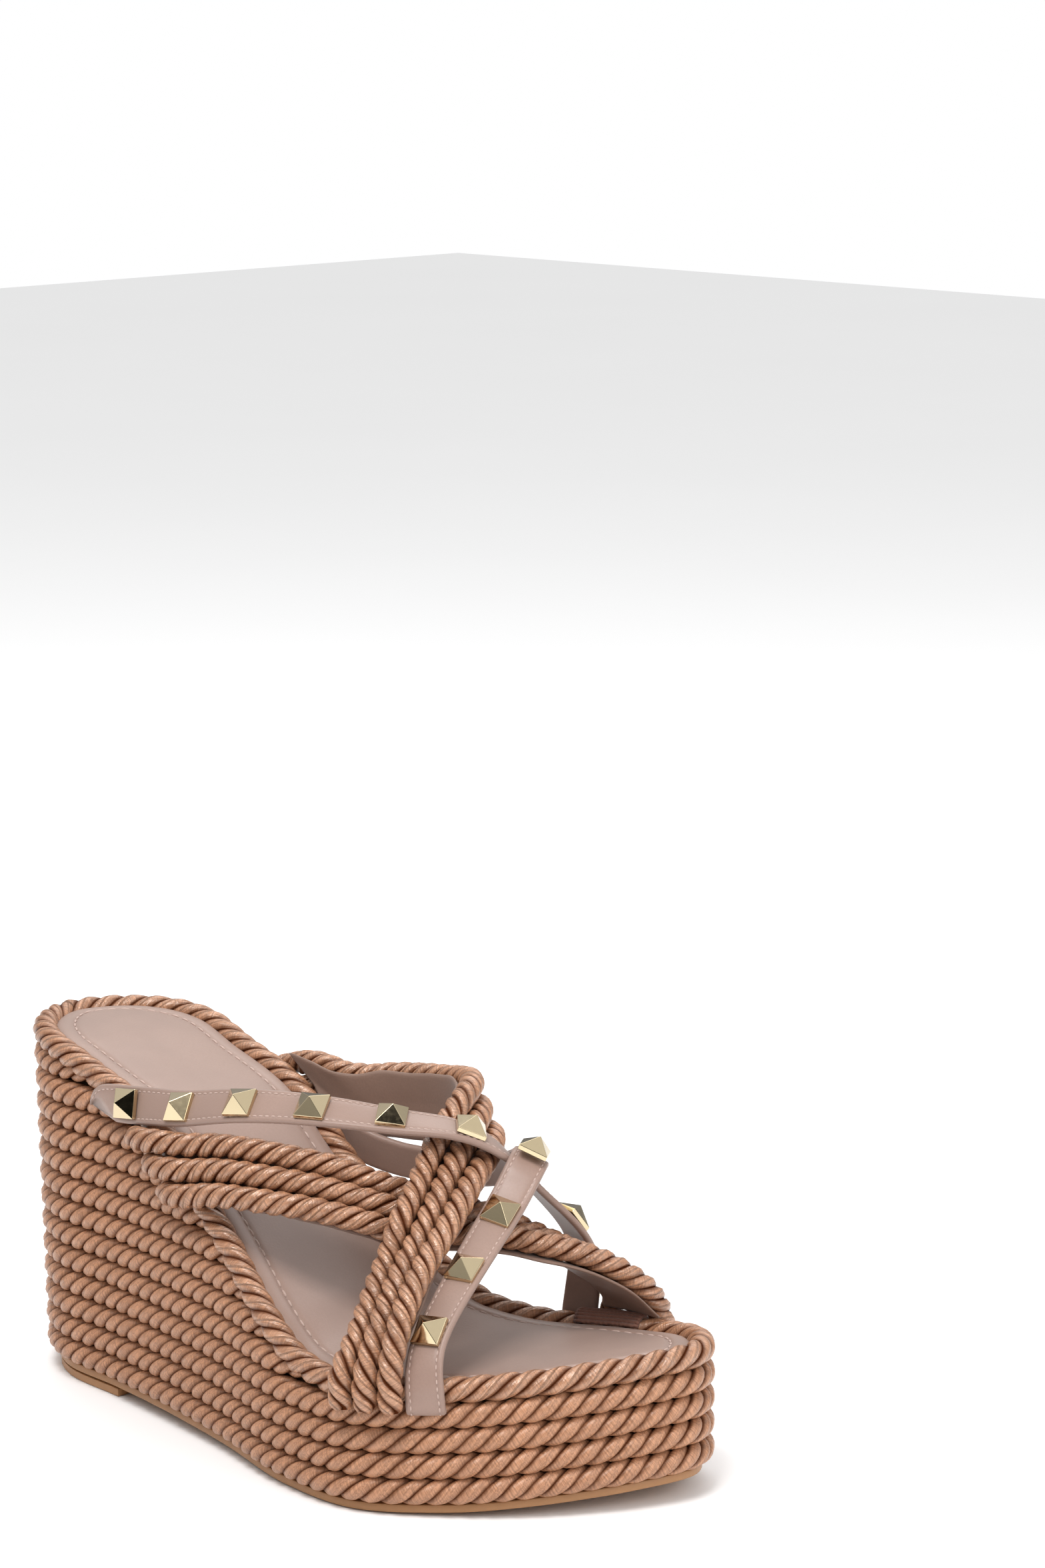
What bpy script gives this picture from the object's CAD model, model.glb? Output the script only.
"""Rope-wrapped wedge sandal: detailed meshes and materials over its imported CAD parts.

Shapes are worked out in millimetres in the shoe's own axes: heel at x = 0, toe towards
+x, medial side on +y, z up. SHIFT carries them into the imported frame, which is in metres.
"""

import math
from contextlib import contextmanager
from types import SimpleNamespace

import bmesh
import bpy
import numpy as np
from mathutils import Matrix, Vector


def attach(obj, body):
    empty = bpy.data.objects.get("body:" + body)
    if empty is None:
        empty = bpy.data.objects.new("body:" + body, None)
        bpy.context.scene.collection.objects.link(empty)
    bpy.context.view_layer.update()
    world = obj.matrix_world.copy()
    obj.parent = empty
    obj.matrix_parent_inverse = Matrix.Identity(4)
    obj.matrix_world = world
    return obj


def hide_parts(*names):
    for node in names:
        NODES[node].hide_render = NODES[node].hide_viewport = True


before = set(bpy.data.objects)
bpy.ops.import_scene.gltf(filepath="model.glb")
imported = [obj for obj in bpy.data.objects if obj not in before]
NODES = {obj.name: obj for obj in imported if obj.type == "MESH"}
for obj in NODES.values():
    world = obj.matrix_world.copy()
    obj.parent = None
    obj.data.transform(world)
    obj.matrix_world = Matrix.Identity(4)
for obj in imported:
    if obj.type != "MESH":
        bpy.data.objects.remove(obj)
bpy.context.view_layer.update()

# ------------------------------------------------------------ shape (mm)
MM = 0.001  # one millimetre in metres
UP = np.array((0, 0, 1.0))
ROPE_PITCH = 7.0  # rise from one wrap turn to the next
ROPE_RADIUS = ROPE_PITCH / 2
WEDGE_ROWS, FOREPART_ROWS = 13, 4
HEEL_HEIGHT = 99.5
TOE_SPRING = 6.1
HEEL_TAPER, TAPER_LENGTH = 3.4, 90.0  # pull-in at the foot of the heel, and its reach in x

# Plan outline (x, y), heel to toe on the medial side and back on the lateral side
HEEL_POINT = (-0.5, 1.0)
MEDIAL = ((5, 17), (23, 28.5), (52, 26.5), (85, 21.5), (115, 19), (146, 22),
          (170, 31.5), (193, 41), (215, 40.5), (231, 23))
LATERAL = ((227, 3.5), (221, -8), (213, -20), (199, -34), (175, -49), (146, -48),
           (113, -39), (85, -33), (52, -28), (25, -24.5), (8.5, -14.5))
OUTLINE_COUNT = 720

# (x, z) of the underside of the wrap, and of the edge rope's centreline
UNDERSIDE = ((-12, 5.0), (50, 5.0), (85, 4.6), (120, 3.5), (150, 2.6), (170, 2.5),
             (195, 3.2), (215, 5.4), (236, 2.5 + TOE_SPRING))
TOP = ((-12, HEEL_HEIGHT), (10, HEEL_HEIGHT), (30, 97.6), (48, 92.9), (74, 86.2),
       (98, 70.2), (118, 57.4), (138, 44.8), (155, 36.3), (172, 34.05), (195, 34.7),
       (215, 36.9), (236, 34.0 + TOE_SPRING))

# A line through the space inside the band and the straps
AXIS_START = np.array((60.0, -3.0, 78.0))
AXIS_END = np.array((190.0, 2.0, 36.0))


# ------------------------------------------------------------ curves
def monotone(table, x):
    """Smooth curve through (x, y) stations that never overshoots them."""
    xs, ys = np.array(table, float).T
    gap = np.diff(xs)
    rise = np.diff(ys) / gap
    slope = np.zeros(len(xs))
    for i in range(1, len(xs) - 1):
        if rise[i - 1] * rise[i] > 0:
            before, after = 2 * gap[i] + gap[i - 1], gap[i] + 2 * gap[i - 1]
            slope[i] = (before + after) / (before / rise[i - 1] + after / rise[i])
    slope[0], slope[-1] = rise[0], rise[-1]
    x = np.clip(np.asarray(x, float), xs[0], xs[-1])
    k = np.clip(np.searchsorted(xs, x, side="right") - 1, 0, len(gap) - 1)
    t = (x - xs[k]) / gap[k]
    return ((2 * t**3 - 3 * t**2 + 1) * ys[k]
            + (t**3 - 2 * t**2 + t) * gap[k] * slope[k]
            + (3 * t**2 - 2 * t**3) * ys[k + 1]
            + (t**3 - t**2) * gap[k] * slope[k + 1])


def under_z(x):
    return monotone(UNDERSIDE, x)


def top_z(x):
    return monotone(TOP, x)


def on_top(xy, rise=0.0):
    """Plan points lifted to the edge rope's height, plus a rise."""
    return np.column_stack([xy, top_z(xy[:, 0]) + rise])


def unit(vector):
    vector = np.asarray(vector, float)
    return vector / np.maximum(np.linalg.norm(vector, axis=-1, keepdims=True), 1e-9)


def square_to(vector, tangent):
    """Unit part of a vector at right angles to a tangent."""
    return unit(vector - tangent * np.sum(vector * tangent, -1, keepdims=True))


def tangents(path, closed=False):
    if closed:
        return unit(np.roll(path, -1, 0) - np.roll(path, 1, 0))
    return unit(np.gradient(path, axis=0))


def arc_lengths(path):
    return np.concatenate([[0.0], np.cumsum(np.linalg.norm(np.diff(path, axis=0), axis=1))])


def lookup(at, stations, values):
    """Rows of values interpolated column by column."""
    return np.column_stack([np.interp(at, stations, column) for column in values.T])


def respace(dense, count, closed=False):
    along = arc_lengths(dense)
    return lookup(np.linspace(0, along[-1], count, endpoint=not closed), along, dense)


def spline(points, count, closed=False, sub=40):
    """Evenly spaced centripetal Catmull-Rom curve; columns past the third ride along."""
    points = np.asarray(points, float)
    if closed:
        ext = np.vstack([points[-1:], points, points[:2]])
    else:
        ext = np.vstack([2 * points[0] - points[1], points, 2 * points[-1] - points[-2]])
    steps = np.linalg.norm(np.diff(ext[:, :3], axis=0), axis=1) ** 0.5
    knots = np.concatenate([[0.0], np.cumsum(steps)])
    dense = []
    u = np.linspace(0, 1, sub, endpoint=False)[:, None]
    for i in range(len(ext) - 3):
        t0, t1, t2, t3 = knots[i:i + 4]
        p0, p1, p2, p3 = ext[i:i + 4]
        t = t1 + (t2 - t1) * u
        a1 = (t1 - t) / (t1 - t0) * p0 + (t - t0) / (t1 - t0) * p1
        a2 = (t2 - t) / (t2 - t1) * p1 + (t - t1) / (t2 - t1) * p2
        a3 = (t3 - t) / (t3 - t2) * p2 + (t - t2) / (t3 - t2) * p3
        b1 = (t2 - t) / (t2 - t0) * a1 + (t - t0) / (t2 - t0) * a2
        b2 = (t3 - t) / (t3 - t1) * a2 + (t - t1) / (t3 - t1) * a3
        dense.append((t2 - t) / (t2 - t1) * b1 + (t - t1) / (t2 - t1) * b2)
    dense.append((points[0] if closed else points[-1])[None])
    return respace(np.vstack(dense), count, closed)


def no_spin_normals(path, tangent):
    """Normals carried along a path by double reflection, without spin about it."""
    normals = np.zeros_like(path)
    normals[0] = square_to(UP, tangent[0])
    for i in range(len(path) - 1):
        step = path[i + 1] - path[i]
        double = 2 / (step @ step)
        normal = normals[i] - double * (step @ normals[i]) * step
        turn = tangent[i + 1] - (tangent[i] - double * (step @ tangent[i]) * step)
        size = turn @ turn
        normals[i + 1] = normal - (2 / size * (turn @ normal) * turn if size > 1e-12 else 0)
    return normals


def away_from_axis(points):
    """Vectors from the inner line out to the points, square to the line."""
    direction = unit(AXIS_END - AXIS_START)
    offset = points - AXIS_START
    return offset - (offset @ direction)[..., None] * direction


OUTLINE = spline((HEEL_POINT,) + MEDIAL + LATERAL, OUTLINE_COUNT, closed=True)
_along = tangents(OUTLINE, closed=True)
OUT_NORMAL = np.column_stack([_along[:, 1], -_along[:, 0]])
if np.sum((OUTLINE - OUTLINE.mean(0)) * OUT_NORMAL) < 0:
    OUT_NORMAL = -OUT_NORMAL
TIP = int(np.argmax(OUTLINE[:, 0]))
EDGE = on_top(OUTLINE)  # centreline of the edge rope


def plan_at(index, z, offset=0.0):
    """Plan points at heights z, pushed out by offset and drawn in low on the heel."""
    point, normal = OUTLINE[index], OUT_NORMAL[index]
    fade = np.clip(1 - point[..., 0] / TAPER_LENGTH, 0, 1)
    push = offset - HEEL_TAPER * fade * (1 - z / HEEL_HEIGHT)
    return point + normal * push[..., None]


# ------------------------------------------------------------ reading the CAD parts
FLAT_COSINE = 0.99995  # neighbouring triangles closer than this are one flat


def cad_points(name):
    mesh = NODES[name].data
    points = np.empty(len(mesh.vertices) * 3, np.float32)
    mesh.vertices.foreach_get("co", points)
    return points.reshape(-1, 3).astype(float) / MM


def find_shift():
    """Offset from the shoe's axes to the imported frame, fitted to the edge rope."""
    points = np.unique(np.round(cad_points("edge_rope"), 3), axis=0)
    shift = points.mean(0) - EDGE.mean(0)
    for _ in range(12):
        gaps = points[:, None, :] - shift - EDGE[None]
        nearest = (gaps**2).sum(2).argmin(1)
        shift = shift + (points - shift - EDGE[nearest]).mean(0)
    return shift


SHIFT = find_shift()


def flat_patches(points, triangles):
    """Groups of triangles joined across edges where the surface stays flat."""
    corners = points[triangles]
    normal = unit(np.cross(corners[:, 1] - corners[:, 0], corners[:, 2] - corners[:, 0]))
    sharing = {}
    for index, (a, b, c) in enumerate(triangles.tolist()):
        for edge in ((a, b), (b, c), (c, a)):
            sharing.setdefault(tuple(sorted(edge)), []).append(index)
    linked = [[] for _ in triangles]
    for pair in sharing.values():
        if len(pair) == 2 and normal[pair[0]] @ normal[pair[1]] > FLAT_COSINE:
            linked[pair[0]].append(pair[1])
            linked[pair[1]].append(pair[0])
    seen, patches = set(), []
    for first in range(len(triangles)):
        if first in seen:
            continue
        seen.add(first)
        patch = [first]
        for index in patch:  # the patch grows as it is walked
            fresh = [other for other in linked[index] if other not in seen]
            seen.update(fresh)
            patch.extend(fresh)
        patches.append(patch)
    return patches


def cad_rings(name, sides):
    """Vertex rings of a swept CAD solid, in order of travel from its lower-x end."""
    mesh = NODES[name].data
    triangles = np.empty(len(mesh.polygons) * 3, np.int32)
    mesh.polygons.foreach_get("vertices", triangles)
    points, welded = np.unique(np.round(cad_points(name), 3), axis=0, return_inverse=True)
    triangles = welded.reshape(-1)[triangles].reshape(-1, 3)
    neighbours = [set() for _ in points]
    for triangle in triangles.tolist():
        for corner in triangle:
            neighbours[corner].update(other for other in triangle if other != corner)
    total = len(points) // sides
    for patch in flat_patches(points, triangles):
        cap = set(triangles[patch].ravel().tolist())
        if len(patch) != sides - 2 or len(cap) != sides:
            continue
        rings, used, current = [sorted(cap)], set(cap), cap
        while True:
            current = set().union(*(neighbours[i] for i in current)) - used
            if not current:
                break
            rings.append(sorted(current))
            used |= current
        if len(rings) == total and all(len(ring) == sides for ring in rings):
            found = np.array([points[ring] for ring in rings])
            if found[0].mean(0)[0] > found[-1].mean(0)[0]:
                found = found[::-1]
            return found - SHIFT
    raise RuntimeError("no rings in " + name)


# ------------------------------------------------------------ mesh building
PLAN_UV, STRAP_UV, STITCH_UV = 0.01, 0.05, 0.1  # UV units per mm


def mesh_object(name, points, quads, material, uv=None, tris=(), depth=None):
    """Smooth-shaded object from points in mm; its UVs are all zero unless given."""
    points = np.asarray(points, float) + SHIFT
    uv = np.zeros((len(points), 2)) if uv is None else uv
    loops = np.concatenate([np.asarray(quads, np.int32).ravel(),
                            np.asarray(tris, np.int32).ravel()])
    counts = np.repeat(np.array((4, 3), np.int32), (len(quads), len(tris)))
    starts = np.concatenate([[0], np.cumsum(counts)[:-1]]).astype(np.int32)
    mesh = bpy.data.meshes.new(name)
    mesh.vertices.add(len(points))
    mesh.vertices.foreach_set("co", (points * MM).astype(np.float32).ravel())
    mesh.loops.add(len(loops))
    mesh.loops.foreach_set("vertex_index", loops)
    mesh.polygons.add(len(counts))
    mesh.polygons.foreach_set("loop_start", starts)
    mesh.update(calc_edges=True)
    layer = mesh.uv_layers.new(name="UVMap")
    layer.data.foreach_set("uv", np.asarray(uv, np.float32)[loops].ravel())
    if depth is not None:
        attribute = mesh.attributes.new("depth", "FLOAT", "POINT")
        attribute.data.foreach_set("value", np.asarray(depth, np.float32))
    mesh.validate()
    shade_smooth(mesh)
    mesh.materials.append(material)
    return linked_object(name, mesh)


def linked_object(name, data):
    obj = bpy.data.objects.new(name, data)
    bpy.context.scene.collection.objects.link(obj)
    return obj


def shade_smooth(mesh):
    mesh.polygons.foreach_set("use_smooth", np.ones(len(mesh.polygons), bool))


def grid_quads(rows, cols, closed=False, base=0):
    """Quads of a tube: rows of points, each wrapping round; closed joins last to first."""
    row, col = np.meshgrid(np.arange(rows if closed else rows - 1), np.arange(cols),
                           indexing="ij")
    next_row, next_col = (row + 1) % rows, (col + 1) % cols
    quads = np.stack([row * cols + col, next_row * cols + col,
                      next_row * cols + next_col, row * cols + next_col], -1)
    return quads.reshape(-1, 4) + base


def end_fans(rows, cols, base=0):
    """Triangle fans over both ends of a tube."""
    last = base + (rows - 1) * cols
    return ([(base, base + i, base + i + 1) for i in range(1, cols - 1)]
            + [(last, last + i + 1, last + i) for i in range(1, cols - 1)])


def end_ladders(rows, cols, flip_last=False):
    """Quads over both ends of a flat tube, between its outer and inner faces."""
    quads = []
    for base, flip in ((0, False), ((rows - 1) * cols, flip_last)):
        for i in range(cols // 2 - 1):
            quad = (base + i, base + i + 1, base + cols - 2 - i, base + cols - 1 - i)
            quads.append(quad[::-1] if flip else quad)
    return quads


@contextmanager
def editing(obj):
    bm = bmesh.new()
    bm.from_mesh(obj.data)
    yield bm
    bm.to_mesh(obj.data)
    bm.free()


def fix_normals(obj):
    with editing(obj) as bm:
        bmesh.ops.recalc_face_normals(bm, faces=bm.faces)


def fit(obj, replaced=None):
    """Hand a finished piece over and the CAD node it stands for."""
    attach(obj, "root")
    if replaced:
        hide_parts(replaced)


# ------------------------------------------------------------ materials
class Tree:
    """Node tree with helpers that each add one node."""

    def __init__(self, tree):
        self.tree = tree

    def feed(self, target, inputs):
        """Link or set inputs; three-part colours are made opaque."""
        for key, value in inputs.items():
            socket = target.inputs[key]
            if isinstance(value, bpy.types.NodeSocket):
                self.tree.links.new(value, socket)
            elif socket.type == "RGBA":
                socket.default_value = (*value, 1.0)
            else:
                socket.default_value = value

    def add(self, kind, inputs={}, **settings):
        made = self.tree.nodes.new("ShaderNode" + kind)
        for key, value in settings.items():
            setattr(made, key, value)
        self.feed(made, inputs)
        return made

    def math(self, operation, first, second):
        return self.add("Math", {0: first, 1: second}, operation=operation).outputs[0]

    def times(self, first, second):
        return self.math("MULTIPLY", first, second)

    def mix(self, factor, first, second):
        inputs = {0: factor, 6: first, 7: second}
        return self.add("Mix", inputs, data_type="RGBA").outputs[2]

    def mix_value(self, factor, first, second):
        inputs = {0: factor, 2: first, 3: second}
        return self.add("Mix", inputs, data_type="FLOAT").outputs[0]

    def ramp(self, value, from_min, from_max, to_min=0.0, to_max=1.0):
        inputs = {0: value, 1: from_min, 2: from_max, 3: to_min, 4: to_max}
        return self.add("MapRange", inputs, clamp=True,
                        interpolation_type="SMOOTHSTEP").outputs[0]

    def noise(self, vector, scale, detail=2.0, roughness=0.5):
        inputs = {"Vector": vector, "Scale": scale, "Detail": detail, "Roughness": roughness}
        return self.add("TexNoise", inputs).outputs[0]

    def bump(self, height, strength, distance, **more):
        inputs = {"Height": height, "Strength": strength, "Distance": distance, **more}
        return self.add("Bump", inputs).outputs[0]


def new_material(name):
    material = bpy.data.materials.new(name)
    material.use_nodes = True
    material.node_tree.nodes.clear()
    tree = Tree(material.node_tree)
    output = tree.add("OutputMaterial")
    surface = tree.add("BsdfPrincipled")
    tree.feed(output, {0: surface.outputs[0]})
    return material, tree, surface


def tint(colour, *factors):
    """A colour times one factor, or one per channel, held to 1."""
    factors = factors * 3 if len(factors) == 1 else factors
    return tuple(min(1.0, part * factor) for part, factor in zip(colour, factors))


def rope_material(name, base, crease_bump, gloss, roughness, groove):
    """Satin ply; groove is the span of depth over which it goes from dark to full tone."""
    material, tree, surface = new_material(name)
    uv = tree.add("UVMap", uv_map="UVMap")
    parts = tree.add("SeparateXYZ", {"Vector": uv.outputs[0]})

    def streaks(along, around, detail, roughness):
        """Noise at its own frequencies (per mm) along and around the ply."""
        stretched = tree.add("CombineXYZ", {"X": tree.times(parts.outputs[0], along),
                                            "Y": tree.times(parts.outputs[1], around)})
        return tree.noise(stretched.outputs[0], 1.0, detail, roughness)

    # fine threads laid across the ply, and creases that run along it
    thread = streaks(along=2.6, around=0.18, detail=3.0, roughness=0.6)
    crease = streaks(along=0.10, around=1.25, detail=2.0, roughness=0.5)
    depth = tree.add("Attribute", attribute_name="depth").outputs["Fac"]
    raised = tree.ramp(depth, *groove)
    groove_colour = tint(base, 0.17, 0.095, 0.06)
    light = tint(base, 1.34, 1.40, 1.46)
    tone = tree.mix(tree.ramp(thread, from_min=0.32, from_max=0.68), tint(base, 0.72), light)
    creased = tree.ramp(crease, from_min=0.38, from_max=0.62)
    tone = tree.mix(creased, tree.mix(0.30, tone, groove_colour), tone)
    thread_bump = tree.bump(thread, strength=0.8, distance=0.2 * MM)
    tree.feed(surface, {
        "Base Color": tree.mix(raised, groove_colour, tone),
        "Roughness": roughness,
        "Specular IOR Level": tree.times(raised, gloss),
        "Specular Tint": (1.0, 0.91, 0.83),
        "Normal": tree.bump(crease, strength=crease_bump, distance=0.45 * MM,
                            Normal=thread_bump)})
    return material


def grain_material(name, base, roughness, grain, size=1.6, specular=0.4, sheen=0.15,
                   vary=0.06):
    """Leather, rubber, cork: noise in object space (mm) for tone and grain."""
    material, tree, surface = new_material(name)
    place = tree.add("TexCoord").outputs["Object"]
    place = tree.add("Mapping", {"Vector": place, "Scale": (1 / MM,) * 3}).outputs[0]
    fine = tree.noise(place, scale=size, detail=4.0, roughness=0.55)
    cell = tree.add("TexVoronoi", {"Vector": place, "Scale": size * 0.9}).outputs[0]
    wide = tree.noise(place, scale=0.05)
    colour = tree.mix(tree.ramp(wide, from_min=0.3, from_max=0.7),
                      tint(base, 1 - vary), tint(base, 1 + vary))
    speckled = tree.ramp(fine, from_min=0.35, from_max=0.65)
    colour = tree.mix(speckled, tree.mix(0.5, colour, tint(base, 0.93)), colour)
    height = tree.math("ADD", tree.times(fine, 0.6), tree.times(cell, 0.5))
    tree.feed(surface, {
        "Base Color": colour, "Roughness": roughness,
        "Specular IOR Level": specular, "Sheen Weight": sheen,
        "Normal": tree.bump(height, strength=grain, distance=0.1 * MM)})
    return material


def metal_material(name, base, roughness):
    material, tree, surface = new_material(name)
    fine = tree.noise(tree.add("TexCoord").outputs["Object"], scale=900.0)
    tree.feed(surface, {
        "Roughness": tree.ramp(fine, from_min=0.3, from_max=0.7,
                               to_min=roughness * 0.8, to_max=roughness * 1.3),
        "Base Color": tree.mix(fine, tint(base, 0.96), base),
        "Metallic": 1.0})
    return material


ROPE_COLOUR = (0.445, 0.212, 0.112)
M_ROPE = rope_material("braided_rope", ROPE_COLOUR, crease_bump=0.4, gloss=0.75,
                       roughness=0.36, groove=(0.75, 0.99))
M_BAND = rope_material("braided_rope_band", tint(ROPE_COLOUR, 0.98), crease_bump=0.9,
                       gloss=1.3, roughness=0.30, groove=(0.77, 1.0))
M_LEATHER = grain_material("taupe_leather", (0.302, 0.200, 0.161), roughness=0.38, grain=0.3)
M_LINING = grain_material("lining_leather", (0.215, 0.132, 0.098), roughness=0.5, grain=0.35)
M_STITCH = grain_material("stitch_thread", (0.47, 0.34, 0.29), roughness=0.6, grain=0.6,
                          size=4.0)
M_RUBBER = grain_material("outsole_rubber", (0.37, 0.185, 0.078), roughness=0.5, grain=0.3,
                          size=1.0, specular=0.45, sheen=0.0)
M_CORK = grain_material("wedge_cork", (0.20, 0.115, 0.065), roughness=0.9, grain=0.9,
                        size=0.7, specular=0.2, sheen=0.0, vary=0.15)
M_BOARD = grain_material("insole_board", (0.36, 0.25, 0.17), roughness=0.85, grain=0.4)
M_FOAM = grain_material("footbed_foam", (0.62, 0.55, 0.47), roughness=0.9, grain=0.6,
                        size=0.8)
M_GOLD = metal_material("pale_gold_metal", (0.70, 0.575, 0.37), roughness=0.10)
M_ELASTIC = grain_material("ribbed_elastic", (0.21, 0.098, 0.068), roughness=0.7, grain=0.8,
                           size=2.4, specular=0.25, sheen=0.2)

# ------------------------------------------------------------ ropes
# Lay of the three plies, sizes as parts of the rope radius: their distance from the
# centre, their half sizes outwards and sideways, and the folds round each. Level plies
# are measured from the horizontal, the others from a frame that doesn't spin.
WRAP_PLIES = SimpleNamespace(level=True, orbit=0.47, half_out=0.54, half_side=0.56,
                             folds=5, fold_depth=0.020)
BAND_PLIES = SimpleNamespace(level=False, orbit=0.49, half_out=0.515, half_side=0.525,
                             folds=6, fold_depth=0.045)
FOLD_SWING, FOLD_WAVE = 0.9, 9.0  # folds sway by this angle, over this length
LESSER_FOLD, LESSER_TWIST = 0.4, 14.0  # part depth of the second folds, mm per radian


def name_hash(text):
    value = 7
    for letter in text:
        value = (value * 131 + ord(letter)) % 1000003
    return value


def rope(name, path, material, plies, radius, pitch, phase, segs, step, closed=False,
         thickness=None, end=0.0):
    """Three-ply twisted rope; thickness scales it along the path, end rounds its tips."""
    dense = np.vstack([path, path[:1]]) if closed else path
    along = arc_lengths(dense)
    length = along[-1]
    count = int(length / step)
    centre = respace(dense, count, closed)
    s = np.arange(count) * (length / (count if closed else count - 1))
    if closed:
        pitch = length / round(length / pitch)
    twist = -2 * math.pi * s / pitch
    tangent = tangents(centre, closed)
    if plies.level:
        out = np.cross(tangent, square_to(UP, tangent))
    else:
        out = no_spin_normals(centre, tangent)
    side = np.cross(tangent, out)

    radii = np.full(count, radius)
    if thickness is not None:
        radii = radii * np.interp(s / length, along / length, thickness)
    if end:
        for distance in (s, length - s):
            past = np.clip(1 - distance / end, 0, 1)
            radii = radii * np.sqrt(np.clip(1 - past**2, 0.0004, 1))
    radii = radii[:, None]

    phi = np.arange(segs) / segs * 2 * math.pi
    points, uvs, depths, quads, tris = [], [], [], [], []
    random = np.random.RandomState(name_hash(name) % 100000)
    for ply in range(3):
        theta = (phase + twist + ply * 2 * math.pi / 3)[:, None]
        radial = out * np.cos(theta) + side * np.sin(theta)
        core = centre + radial * plies.orbit * radii
        core_tangent = tangents(core, closed)
        radial = square_to(radial, core_tangent)
        across = np.cross(core_tangent, radial)
        u = arc_lengths(core)[:, None]
        wobble = random.uniform(0, 6.28, 3)
        sway = FOLD_SWING * np.sin(u / FOLD_WAVE + wobble[1])
        folds = 1 + plies.fold_depth * (
            np.cos(plies.folds * phi + wobble[0] + sway)
            + LESSER_FOLD * np.sin((plies.folds - 2) * phi + wobble[2] + u / LESSER_TWIST))
        rings = (core[:, None]
                 + radial[:, None] * (np.cos(phi) * folds * plies.half_out * radii)[..., None]
                 + across[:, None] * (np.sin(phi) * folds * plies.half_side * radii)[..., None])
        points.append(rings.reshape(-1, 3))
        depths.append((np.linalg.norm(rings - centre[:, None], axis=2) / radii).ravel())
        uvs.append(np.stack(np.broadcast_arrays(u, phi * 0.5 * radius), -1).reshape(-1, 2))
        base = ply * count * segs
        quads.append(grid_quads(count, segs, closed, base))
        if not closed:
            tris += end_fans(count, segs, base)
    return mesh_object(name, np.vstack(points), np.vstack(quads), material,
                       np.vstack(uvs), tris, np.concatenate(depths))


# ------------------------------------------------------------ wrap rows
END_FREE = 0.3  # room under the edge rope where a turn stops
TUCK_IN, TUCK_POWER = 3.0, 1.3  # how far, and how suddenly, a turn's end moves inwards
TUCK_DROP, TUCK_THINNING = 0.6, 0.42


def row_curve(number):
    """Centreline of a wrap turn and its thickness, which is None on a closed turn.

    Open turns run on under the edge rope at both ends.
    """
    x = OUTLINE[:, 0]
    z = under_z(x) + (number - 0.5) * ROPE_PITCH
    if number <= FOREPART_ROWS:
        return np.column_stack([plan_at(np.arange(OUTLINE_COUNT), z), z]), None
    slope = top_z(x + 0.5) - top_z(x - 0.5)
    free = (top_z(x) - z) / np.sqrt(1 + slope**2)
    medial_end = lateral_end = 0
    while free[(medial_end + 1) % OUTLINE_COUNT] >= END_FREE and medial_end < TIP:
        medial_end += 1
    while (free[(-lateral_end - 1) % OUTLINE_COUNT] >= END_FREE
           and lateral_end < OUTLINE_COUNT - TIP):
        lateral_end += 1
    keep = np.arange(-lateral_end, medial_end + 1) % OUTLINE_COUNT
    tuck = np.clip((ROPE_PITCH - free[keep]) / (ROPE_PITCH - END_FREE), 0, 1)
    xy = plan_at(keep, z[keep], -TUCK_IN * tuck**TUCK_POWER)
    return np.column_stack([xy, z[keep] - TUCK_DROP * tuck]), 1 - TUCK_THINNING * tuck


for number in range(1, WEDGE_ROWS + 1):
    curve, thickness = row_curve(number)
    closed = thickness is None
    turn = rope("rope_turn_%02d" % number, curve, M_ROPE, WRAP_PLIES,
                radius=ROPE_RADIUS * 1.035, pitch=17.8, phase=number * 1.93, segs=14,
                step=1.05, closed=closed, thickness=thickness, end=0.0 if closed else 2.5)
    fit(turn, "wrap_rope_row_%02d" % number)

fit(rope("rope_edge", EDGE, M_BAND, WRAP_PLIES, radius=ROPE_RADIUS * 1.03, pitch=20.5,
         phase=0.7, segs=18, step=0.9, closed=True), "edge_rope")

# ------------------------------------------------------------ bands of three ropes
BAND_RUN_ON = 1.6  # added at each end, into the crease under the edge rope
BAND_PATHS = {}


def band_rope(side, number, first_phase):
    node_name = "%s_band_rope_%d" % (side, number)
    centre = cad_rings(node_name, 7).mean(1)
    start, end = unit(centre[0] - centre[1]), unit(centre[-1] - centre[-2])
    path = spline(np.vstack([centre[0] + start * BAND_RUN_ON, centre,
                             centre[-1] + end * BAND_RUN_ON]), 420)
    BAND_PATHS[side, number] = path
    piece = rope("rope_%s_band_%d" % (side, number), path, M_BAND, BAND_PLIES,
                 radius=ROPE_RADIUS, pitch=15.4, phase=0.9 * number + first_phase,
                 segs=20, step=0.85, end=3.4)
    fit(piece, node_name)


for side, first_phase in (("lateral", 0.0), ("medial", 2.0)):
    for number in (1, 2, 3):
        band_rope(side, number, first_phase)

LINING_STEPS, LINING_ACROSS = 200, 25
LINING_GAP, LINING_THICKNESS = 0.25, 1.0
LINING_LIP, LINING_LIP_WIDTH = 0.25, 0.05  # rounding at the edges; width as a fraction


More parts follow.
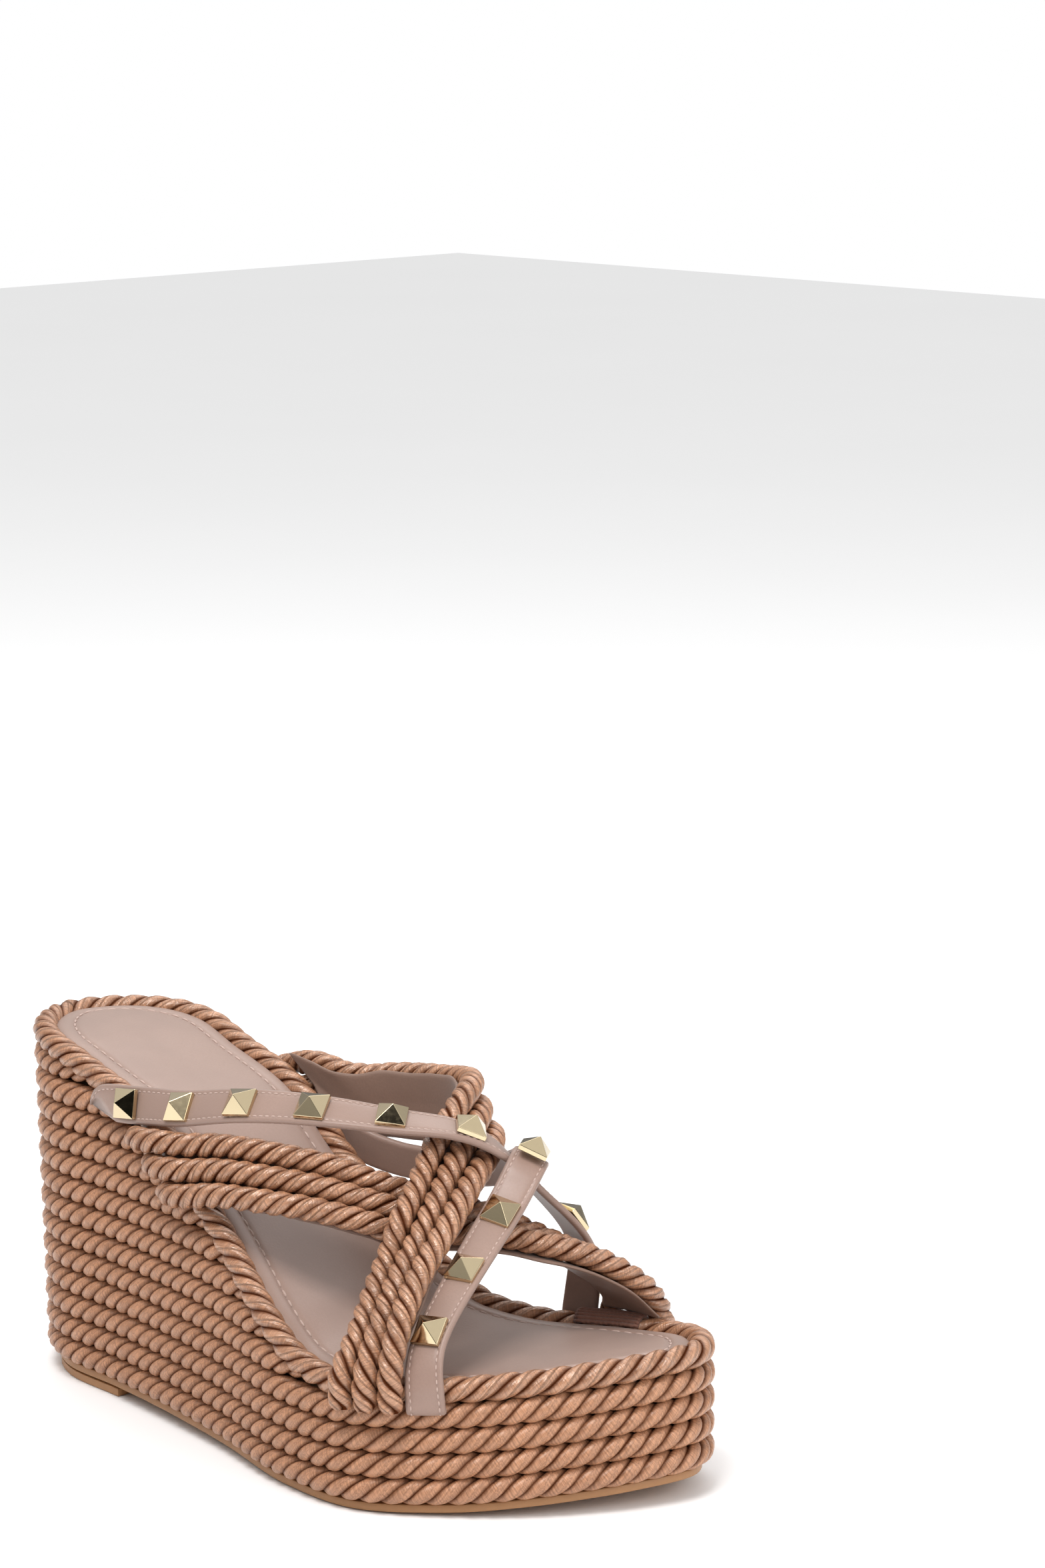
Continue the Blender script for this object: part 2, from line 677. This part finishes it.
def band_lining(side, start, end, before, after, bulge=0.0):
    """Leather strip inside the three ropes of a band, with slightly uneven edges.

    It runs between the fractions start and end of the ropes. Before and after are its
    overhangs past the first and third rope, each given at both ends of the strip.
    """
    fraction = np.linspace(start, end, LINING_STEPS)
    first, middle, third = (
        lookup(fraction, np.linspace(0, 1, len(BAND_PATHS[side, k])), BAND_PATHS[side, k])
        for k in (1, 2, 3))
    normal = unit(np.cross(tangents(middle), unit(third - first)))
    normal = -normal * np.sign(np.sum(normal * away_from_axis(middle), 1))[:, None]
    for _ in range(30):
        normal[1:-1] = unit(0.25 * normal[:-2] + 0.5 * normal[1:-1] + 0.25 * normal[2:])

    travel = (fraction - start) / (end - start)
    wave = 0.28 * np.sin(travel * 41.0) + 0.18 * np.sin(travel * 67.0 + 1.0)
    before = np.interp(travel, (0, 1), before) + wave
    after = (np.interp(travel, (0, 1), after) - wave
             + bulge * np.exp(-((travel - 0.26) / 0.14) ** 2))
    to_middle, to_third = middle - first, third - middle
    gap_1, gap_2 = np.linalg.norm(to_middle, axis=1), np.linalg.norm(to_third, axis=1)
    outer, inner = [], []
    for q in np.linspace(0, 1, LINING_ACROSS):
        width = -before + (gap_1 + gap_2 + before + after) * q
        on_first = first + unit(to_middle) * width[:, None]
        on_second = middle + unit(to_third) * (width - gap_1)[:, None]
        blend = np.clip((width - gap_1) / 4.0 + 0.5, 0, 1)[:, None]
        place = on_first * (1 - blend) + on_second * blend
        lip = LINING_LIP * max(0.0, 1 - min(q, 1 - q) / LINING_LIP_WIDTH) ** 2
        reach = ROPE_RADIUS + LINING_GAP
        outer.append(place + normal * (reach + lip))
        inner.append(place + normal * (reach + LINING_THICKNESS - lip))
    points = np.stack(outer + inner[::-1], 1)
    rows, cols = points.shape[:2]
    quads = np.vstack([grid_quads(rows, cols), end_ladders(rows, cols)])
    obj = mesh_object("lining_%s_band" % side, points.reshape(-1, 3), quads, M_LINING)
    fix_normals(obj)
    fit(obj, side + "_band_lining")


band_lining("lateral", start=0.09, end=0.93, before=(1.2, 1.2), after=(2.6, 3.4))
band_lining("medial", start=0.07, end=0.92, before=(2.6, 0.6), after=(2.2, 0.8), bulge=4.2)


# ------------------------------------------------------------ stitches
def stitches(name, centres, directions, ups, length, radius):
    """One mesh of rounded, slightly humped capsules."""
    along, around = 7, 8
    flatness, hump = 0.8, 0.25
    directions = unit(directions)
    sides = unit(np.cross(directions, ups))
    ups = np.cross(sides, directions)
    centres, directions, sides, ups = (
        vectors[:, None, None] for vectors in (centres, directions, sides, ups))
    reach = np.linspace(-1, 1, along)[:, None, None]
    swell = np.sqrt(np.clip(1 - np.abs(reach) ** 2.6, 0.02, 1))
    phi = (np.arange(around) / around * 2 * math.pi)[None, :, None]
    points = (centres + directions * (reach * length / 2)
              + sides * (np.cos(phi) * swell * radius)
              + ups * (radius * (np.sin(phi) * swell * flatness + (1 - reach**2) * hump)))
    quads, tris = [], []
    for base in range(0, len(centres) * along * around, along * around):
        quads.append(grid_quads(along, around, base=base))
        tris += end_fans(along, around, base)
    points = points.reshape(-1, 3)
    return mesh_object(name, points, np.vstack(quads), M_STITCH,
                       points[:, :2] * STITCH_UV, tris)


# ------------------------------------------------------------ footbed
# (inset from the outline, rise over the edge rope's centreline)
SOCK_RISE = ((2.2, -1.9), (2.7, -0.2), (3.3, 0.75), (4.0, 1.25), (5.0, 1.55), (6.4, 1.7),
             (7.6, 1.6), (8.1, 1.35), (8.5, 1.2), (8.9, 1.35), (9.5, 1.65), (11, 1.85),
             (14, 2.05), (18, 2.2), (24, 2.3), (40, 2.3))
SOCK_INSETS = (2.3, 2.7, 3.2, 3.8, 4.6, 5.6, 6.6, 7.5, 7.9, 8.2, 8.5, 8.8, 9.1, 9.6, 10.4,
               11.6, 13.2, 15.0)
SOCK_BLENDS = (0.12, 0.26, 0.42, 0.58, 0.75, 0.9, 1.0)  # last inset ring to the spine
SOCK_COUNT = 360
SPINE_HEEL_GAP, SPINE_TOE_GAP = 9.0, 11.0  # from the last inset ring's ends
SEAM_INSET, SEAM_RISE, SEAM_PITCH = 8.5, 1.32, 3.9


def inset_ring(inset, count, passes):
    """Outline drawn in by an inset and smoothed."""
    index = np.linspace(0, OUTLINE_COUNT, count, endpoint=False)
    low = index.astype(int)
    high = (low + 1) % OUTLINE_COUNT
    part = (index - low)[:, None]
    centre = OUTLINE[low] * (1 - part) + OUTLINE[high] * part
    normal = unit(OUT_NORMAL[low] * (1 - part) + OUT_NORMAL[high] * part)
    ring = centre - normal * inset
    for _ in range(passes):
        ring = 0.25 * np.roll(ring, 1, 0) + 0.5 * ring + 0.25 * np.roll(ring, -1, 0)
    return ring


def outline_y(side, x):
    """Outline y at x, along one side given by its point indices."""
    side = side[np.argsort(OUTLINE[side, 0])]
    return np.interp(x, OUTLINE[side, 0], OUTLINE[side, 1])


def footbed_cover():
    rings = []
    for inset in SOCK_INSETS:
        xy = inset_ring(inset, SOCK_COUNT, int(inset * 0.8))
        rings.append(on_top(xy, monotone(SOCK_RISE, inset)))
    last = rings[-1][:, :2]
    x = last[:, 0]
    low, high = x.min() + SPINE_HEEL_GAP, x.max() - SPINE_TOE_GAP
    spine_x = low + (high - low) * (x - x.min()) / (x.max() - x.min())
    spine_y = 0.5 * (outline_y(np.arange(0, TIP + 1), spine_x)
                     + outline_y(np.arange(TIP, OUTLINE_COUNT), spine_x))
    spine = np.column_stack([spine_x, spine_y])
    for blend in SOCK_BLENDS:
        xy = last * (1 - blend) + spine * blend
        rings.append(on_top(xy, monotone(SOCK_RISE, SOCK_INSETS[-1] + 14 * blend)))
    points = np.vstack([rings[0] - UP] + rings)  # the rim is turned down by 1 mm
    sock = mesh_object("footbed_cover", points, grid_quads(len(rings) + 1, SOCK_COUNT),
                       M_LEATHER, points[:, :2] * PLAN_UV)
    with editing(sock) as bm:
        bmesh.ops.remove_doubles(bm, verts=bm.verts, dist=0.05 * MM)
        bmesh.ops.recalc_face_normals(bm, faces=bm.faces)
        # an open sheet can come out facing down
        if sum(face.normal.z * face.calc_area() for face in bm.faces) < 0:
            bmesh.ops.reverse_faces(bm, faces=bm.faces)
    fit(sock, "footbed_sock")


def footbed_stitching():
    seam = on_top(inset_ring(SEAM_INSET, 1440, 12), SEAM_RISE)
    seam = np.vstack([seam, seam[:1]])
    count = int(arc_lengths(seam)[-1] / SEAM_PITCH)
    places = respace(seam, count * 8, True)
    index = np.arange(count) * 8
    fit(stitches("footbed_stitching", places[index], places[index + 1] - places[index - 1],
                 UP, length=2.75, radius=0.34))


footbed_cover()
footbed_stitching()

# ------------------------------------------------------------ rear straps
STRAP_HALF, STRAP_HALF_THICKNESS = 5.3, 1.05
STRAP_SEAM = STRAP_HALF - 1.45  # stitched groove, from the strap's middle
STRAP_SINK, STRAP_TURN_OUT, STRAP_TURN_IN = 2.0, 0.9, (1.5, 1.3)  # runs past the CAD ends
SLANT_RUN = 16.0  # length over which a slanted end fades out


def mirrored(profile):
    return [(-width, height) for width, height in reversed(profile)]


# Half of the cross-section: (distance from the middle, height in half thicknesses)
UPPER_HALF = [(0, 1.1), (1.6, 1.08), (STRAP_SEAM - 1.1, 1.04), (STRAP_SEAM - 0.35, 0.97),
              (STRAP_SEAM, 0.84), (STRAP_SEAM + 0.35, 1.0), (STRAP_HALF - 0.5, 0.93),
              (STRAP_HALF - 0.12, 0.62), (STRAP_HALF + 0.05, 0.1), (STRAP_HALF, -0.35)]
LOWER_HALF = [(STRAP_HALF - 0.3, -0.8), (STRAP_HALF - 0.9, -1.0), (STRAP_SEAM, -1.0),
              (0, -1.0)]
STRAP_PROFILE = np.array(mirrored(UPPER_HALF[1:]) + UPPER_HALF + LOWER_HALF
                         + mirrored(LOWER_HALF[:-1]))


def strap_frames(node_name):
    """Centre, tangent, outward normal and width direction along a CAD strap."""
    rings = cad_rings(node_name, 8)
    centre = rings.mean(1)
    width, normal = [], []
    for ring, middle in zip(rings, centre):
        across, through = np.linalg.svd(ring - middle)[2][:2]
        if width:
            across = -across if across @ width[-1] < 0 else across
            through = -through if through @ normal[-1] < 0 else through
        width.append(across)
        normal.append(through)
    width, normal = np.array(width), np.array(normal)
    mid = len(centre) // 2
    if normal[mid] @ away_from_axis(centre[mid]) < 0:
        normal = -normal
    if np.cross(tangents(centre)[mid], normal[mid]) @ width[mid] < 0:
        width = -width
    keep = [0] + list(range(3, len(centre)))  # an easy fold at the fastened end
    centre, width, normal = centre[keep], width[keep], normal[keep]
    for _ in range(2):
        for values in (centre, width, normal):
            values[1:-1] = 0.2 * values[:-2] + 0.6 * values[1:-1] + 0.2 * values[2:]

    # sink the fastened end, and turn the other end in
    sink = unit(-UP + 0.3 * unit(centre[0] - centre[1]))
    ahead = unit(centre[-1] - centre[-2])
    out, drop = STRAP_TURN_IN
    centre = np.vstack([centre[0] + sink * STRAP_SINK, centre,
                        centre[-1] + ahead * STRAP_TURN_OUT,
                        centre[-1] + ahead * out - normal[-1] * drop])
    width = np.vstack([width[:1], width, width[-1:], width[-1:]])
    normal = np.vstack([normal[:1], normal, normal[-1:],
                        unit(normal[-1] * 0.7 + ahead * 0.7)[None]])
    dense = spline(np.hstack([centre, width, normal]), 300, sub=24)
    centre, width, normal = dense[:, :3], dense[:, 3:6], dense[:, 6:9]
    tangent = tangents(centre)
    width = square_to(width, tangent)
    square = np.cross(tangent, width)
    normal = unit(square) * np.sign(np.sum(square * normal, 1))[:, None]
    return centre, tangent, normal, width


def slanted(frames, offset, slant):
    """Frames read further along at the lower side of the fastened end, to cut it aslant."""
    along = arc_lengths(frames[0])
    downwards = -1 if frames[3][0][2] > 0 else 1
    low = 0.5 + 0.5 * (offset / STRAP_HALF) * downwards
    read_at = along + slant * low * np.clip(1 - along / SLANT_RUN, 0, 1)
    return [lookup(read_at, along, values) for values in frames]


def strap_piece(name, frames, slant):
    columns = []
    for offset, height in STRAP_PROFILE:
        centre, _, normal, width = slanted(frames, offset, slant)
        columns.append(centre + width * offset + normal * height * STRAP_HALF_THICKNESS)
    points = np.stack(columns, 1)
    rows, cols = points.shape[:2]
    uv = np.stack(np.broadcast_arrays(arc_lengths(frames[0])[:, None],
                                      STRAP_PROFILE[:, 0]), -1)
    obj = mesh_object(name, points.reshape(-1, 3), grid_quads(rows, cols), M_LEATHER,
                      uv.reshape(-1, 2) * STRAP_UV, end_fans(rows, cols))
    fix_normals(obj)
    return obj


def strap_stitches(name, frames, slant):
    margin, pitch, rise = 1.0, 1.95, 0.93
    placed = []
    for offset in (-STRAP_SEAM, STRAP_SEAM):
        centre, tangent, normal, width = slanted(frames, offset, slant)
        line = centre + width * offset + normal * rise
        along = arc_lengths(line)
        at = np.arange(margin, along[-1] - margin, pitch)
        placed.append([lookup(at, along, values) for values in (line, tangent, normal)])
    return stitches(name, *map(np.vstack, zip(*placed)), length=1.35, radius=0.24)


for place, slant in (("outer_rear", 9.5), ("inner_rear", 0.0)):
    frames = strap_frames(place + "_strap")
    piece = "strap_" + place
    fit(strap_piece(piece, frames, slant), place + "_strap")
    fit(strap_stitches(piece + "_stitching", frames, slant))

# ------------------------------------------------------------ studs
STUD_BOTTOM, STUD_WALL_TOP = -0.42, 0.85  # from the CAD stud's base
STUD_BEVEL = 0.13


def stud(node_name, piece):
    """Square pyramid stud on straight walls, placed on its CAD solid."""
    points = np.unique(np.round(cad_points(node_name), 3), axis=0) - SHIFT
    gaps = np.linalg.norm(points[:, None] - points[None], axis=2)
    np.fill_diagonal(gaps, 99)
    apex_index = int(np.argmax(gaps.min(1)))  # the apex stands furthest from the rest
    apex = points[apex_index]
    rest = np.delete(points, apex_index, axis=0)
    normal = unit(apex - rest.mean(0))
    base = rest[np.argsort((rest - rest.mean(0)) @ normal)[:4]]
    centre = base.mean(0)
    spokes = base - centre
    angles = np.arctan2(spokes @ unit(np.cross(normal, spokes[0])), spokes @ unit(spokes[0]))
    corners = spokes[np.argsort(angles)]
    edge = corners[1] - corners[0]
    across, half = unit(edge), np.linalg.norm(edge) / 2
    along = np.cross(normal, across)

    bm = bmesh.new()

    def vertex(x, y, z):
        place = centre + across * x * half + along * y * half + normal * z + SHIFT
        return bm.verts.new(tuple(place * MM))

    square = ((-1, -1), (1, -1), (1, 1), (-1, 1))
    low = [vertex(x, y, STUD_BOTTOM) for x, y in square]
    high = [vertex(x, y, STUD_WALL_TOP) for x, y in square]
    tip = vertex(0, 0, float((apex - centre) @ normal))
    bm.faces.new(low[::-1])
    for i in range(4):
        j = (i + 1) % 4
        bm.faces.new((low[i], low[j], high[j], high[i]))
        bm.faces.new((high[i], high[j], tip))
    bmesh.ops.recalc_face_normals(bm, faces=bm.faces)
    bmesh.ops.bevel(bm, geom=list(bm.edges), offset=STUD_BEVEL * MM, segments=3,
                    profile=0.5, affect="EDGES")
    mesh = bpy.data.meshes.new(piece)
    bm.to_mesh(mesh)
    bm.free()
    shade_smooth(mesh)
    mesh.set_sharp_from_angle(angle=math.radians(50))
    mesh.materials.append(M_GOLD)
    obj = linked_object(piece, mesh)
    obj.modifiers.new("wn", "WEIGHTED_NORMAL").keep_sharp = True
    fit(obj, node_name)


for place, total in (("outer_rear", 8), ("inner_rear", 7)):
    for number in range(1, total + 1):
        stud("%s_stud_%d" % (place, number), "stud_%s_%d" % (place, number))

# ------------------------------------------------------------ sole
SOLE_COUNT = 480
SOLE_OFFSET, SOLE_BEVEL = 0.2, 0.35
SOLE_DEPTH, SOLE_TOP_GAP = 2.5, 0.25  # below the underside of the wrap


def outsole():
    """Closed sheet under the wrap, with eased edges."""
    index = np.linspace(0, OUTLINE_COUNT, SOLE_COUNT, endpoint=False).astype(int)
    underside = under_z(OUTLINE[index, 0])
    low, high = underside - SOLE_DEPTH, underside - SOLE_TOP_GAP
    # (inset from the sole's edge, heights), from the bottom face round to the top
    stations = ((SOLE_BEVEL + 1.5, low), (SOLE_BEVEL, low),
                (SOLE_BEVEL * 0.3, low + SOLE_BEVEL * 0.3), (0.0, low + SOLE_BEVEL),
                (0.0, high - SOLE_BEVEL * 0.6), (SOLE_BEVEL * 0.4, high), (3.0, high))
    points = np.vstack([np.column_stack([plan_at(index, z, SOLE_OFFSET - inset), z])
                        for inset, z in stations])
    sole = mesh_object("outsole_sheet", points, grid_quads(len(stations), SOLE_COUNT),
                       M_RUBBER, points[:, :2] * PLAN_UV)
    with editing(sole) as bm:
        bm.verts.ensure_lookup_table()
        for start in (0, (len(stations) - 1) * SOLE_COUNT):
            # ladder of faces between the two sides; the first and last are triangles
            for i in range(SOLE_COUNT // 2):
                corners = dict.fromkeys(
                    (i, i + 1, SOLE_COUNT - i - 1, (SOLE_COUNT - i) % SOLE_COUNT))
                bm.faces.new([bm.verts[start + corner] for corner in corners])
        bmesh.ops.recalc_face_normals(bm, faces=bm.faces)
    sole.data.set_sharp_from_angle(angle=math.radians(60))
    fit(sole, "outsole")


outsole()


# ------------------------------------------------------------ CAD parts shown as they are
def dress(name, material, bevel=0.0):
    obj = NODES[name]
    obj.data.materials.clear()
    obj.data.materials.append(material)
    obj.modifiers.new("weld", "WELD").merge_threshold = 0.01 * MM
    if bevel:
        modifier = obj.modifiers.new("bevel", "BEVEL")
        modifier.width = bevel * MM
        modifier.segments = 3
        modifier.limit_method = "ANGLE"
        modifier.angle_limit = math.radians(40)
    shade_smooth(obj.data)


dress("wedge_core", M_CORK)
dress("insole_board", M_BOARD)
dress("footbed_padding", M_FOAM)
dress("heel_lift", M_RUBBER, bevel=0.3)

# ------------------------------------------------------------ front elastics
TAPE_STEPS, RIB_STEPS = 40, 12
TAPE_INNER, TAPE_OUTER = 0.12, 0.85  # heights over the edge rope
RIB_HEIGHT, RIB_POWER = 0.55, 0.7
TAPE_SIDE_DROP, TAPE_END_DROP, TAPE_END_LENGTH = 0.6, 0.35, 0.8


def hug(x, medial, angles, reach):
    """Points round the edge rope's centreline at x; 0 degrees is outwards, 90 upwards."""
    if medial:
        side = np.arange(0, TIP + 1)
    else:
        side = np.arange(OUTLINE_COUNT - 1, TIP - 1, -1)
    index = int(side[np.argmin(np.abs(OUTLINE[side, 0] - x))])
    tangent = unit(EDGE[(index + 4) % OUTLINE_COUNT] - EDGE[(index - 4) % OUTLINE_COUNT])
    out = np.append(OUT_NORMAL[index], 0.0)
    up = unit(np.cross(tangent, out))
    if up[2] < 0:
        up = -up
    angles = np.radians(angles)[:, None]
    return EDGE[index] + np.reshape(reach, (-1, 1)) * (np.cos(angles) * out
                                                       + np.sin(angles) * up)


def ribbed_tape(name, node_name, x_range, medial, angle_range, ribs):
    """Elastic with raised lengthwise ribs, bent over the edge rope."""
    angles = np.linspace(*angle_range, ribs * RIB_STEPS + 1)
    across = (angles - angle_range[0]) / (angle_range[1] - angle_range[0])
    height = RIB_HEIGHT * np.abs(np.sin(np.pi * ribs * across)) ** RIB_POWER
    from_edge = np.minimum(across, 1 - across) * ribs
    height = height - TAPE_SIDE_DROP * np.clip(1 - from_edge * 2.5, 0, 1) ** 2
    points = []
    for x in np.linspace(*x_range, TAPE_STEPS):
        from_end = min(x - x_range[0], x_range[1] - x)
        drop = TAPE_END_DROP * max(0.0, 1 - from_end / TAPE_END_LENGTH) ** 2
        points.append(hug(x, medial, angles, ROPE_RADIUS + TAPE_OUTER + height - drop))
        points.append(hug(x, medial, angles[::-1], ROPE_RADIUS + TAPE_INNER))
    cols = 2 * len(angles)
    quads = np.vstack([grid_quads(TAPE_STEPS, cols),
                       end_ladders(TAPE_STEPS, cols, flip_last=True)])
    obj = mesh_object(name, np.vstack(points), quads, M_ELASTIC)
    fix_normals(obj)
    fit(obj, node_name)


ribbed_tape("elastic_inner_front", "inner_front_elastic", x_range=(176.5, 195.5),
            medial=True, angle_range=(70, 158), ribs=6)
ribbed_tape("elastic_outer_front", "outer_front_elastic", x_range=(168.5, 183.5),
            medial=False, angle_range=(78, 150), ribs=5)

# ------------------------------------------------------------ stage, light, camera
CAMERA_AZIMUTH, CAMERA_ELEVATION = math.radians(44.787), math.radians(10.3)
CAMERA_DISTANCE = 1445.9  # mm, in depth, from the aim point
CAMERA_AIM = np.array((120.0, 0.0, 40.0))
AIM_RIGHT, AIM_UP = -49.10864, -140.98932  # mm, the aim point from the centre of view
SENSOR_WIDTH, LENS = 36.0, 118.74796


def floor():
    bpy.ops.mesh.primitive_plane_add(size=6.0, location=(0, 0, -0.2 * MM))
    plane = bpy.context.active_object
    plane.name = "floor"
    material, tree, surface = new_material("floor_white")
    noise = tree.noise(tree.add("TexCoord").outputs["Object"], scale=4.0)
    tree.feed(surface, {"Base Color": tree.mix(noise, (0.93,) * 3, (0.95,) * 3),
                        "Roughness": 0.9, "Specular IOR Level": 0.1})
    plane.data.materials.append(material)


def studio_world():
    """Sky brighter overhead than round the horizon, so metal and satin pick up contrast."""
    world = bpy.data.worlds.new("studio")
    world.use_nodes = True
    tree = Tree(world.node_tree)
    rays = tree.add("LightPath").outputs
    direction = tree.add("TexCoord").outputs["Generated"]
    height = tree.add("SeparateXYZ", {"Vector": direction}).outputs[2]
    sky = tree.ramp(height, from_min=-0.1, from_max=0.75, to_min=0.16, to_max=0.95)
    # reflections see a dark patch on the camera's side
    towards_camera = (math.sin(CAMERA_AZIMUTH) * 0.95, -math.cos(CAMERA_AZIMUTH) * 0.95, 0.31)
    facing = tree.add("VectorMath", {0: direction, 1: towards_camera},
                      operation="DOT_PRODUCT").outputs["Value"]
    patch = tree.ramp(facing, from_min=0.86, from_max=0.93, to_min=1.0, to_max=0.02)
    reflected = tree.times(tree.times(sky, patch), 0.9)
    light = tree.mix_value(rays["Is Glossy Ray"], sky, reflected)
    seen = tree.mix_value(rays["Is Camera Ray"], light, 1.0)
    tree.feed(world.node_tree.nodes["Background"], {"Strength": seen, "Color": (1.0,) * 3})
    bpy.context.scene.world = world


def camera():
    """Place the camera; returns its right and forward directions."""
    cos_elevation = math.cos(CAMERA_ELEVATION)
    forward = np.array((-math.sin(CAMERA_AZIMUTH) * cos_elevation,
                        math.cos(CAMERA_AZIMUTH) * cos_elevation,
                        -math.sin(CAMERA_ELEVATION)))
    right = np.array((math.cos(CAMERA_AZIMUTH), math.sin(CAMERA_AZIMUTH), 0.0))
    up = np.cross(right, forward)
    location = CAMERA_AIM + SHIFT - (forward * CAMERA_DISTANCE + right * AIM_RIGHT
                                     + up * AIM_UP)
    data = bpy.data.cameras.new("camera")
    data.sensor_width = SENSOR_WIDTH
    data.lens = LENS
    data.clip_start, data.clip_end = 0.05, 20.0
    obj = linked_object("camera", data)
    turn = Matrix(np.column_stack([right, up, -forward]).tolist())
    obj.matrix_world = Matrix.Translation(Vector(location * MM)) @ turn.to_4x4()
    bpy.context.scene.camera = obj
    return right, forward


def area_light(name, right, up, nearer, size, power, directions):
    """Light aimed at the shoe, placed (m) by the camera's right, up and nearer to it."""
    camera_right, forward = directions
    level = np.array((forward[0], forward[1], 0))
    location = Vector((camera_right * right + UP * up - level * nearer).tolist())
    data = bpy.data.lights.new(name, "AREA")
    data.shape = "RECTANGLE"
    data.size, data.size_y = size
    data.energy = power
    obj = linked_object(name, data)
    obj.location = location
    aim = Vector((0, 0, 0.04)) - location
    obj.rotation_euler = aim.to_track_quat("-Z", "Y").to_euler()


floor()
studio_world()
view = camera()
area_light("key", right=-0.25, up=1.35, nearer=0.65, size=(0.6, 0.5), power=14.0,
           directions=view)
area_light("fill", right=1.1, up=0.6, nearer=0.8, size=(0.8, 0.8), power=6.0,
           directions=view)
area_light("back", right=0.1, up=1.2, nearer=-0.9, size=(1.2, 0.6), power=5.0,
           directions=view)

view_settings = bpy.context.scene.view_settings
view_settings.view_transform = "Standard"
view_settings.look = "None"
view_settings.exposure = 0.0
view_settings.gamma = 1.0
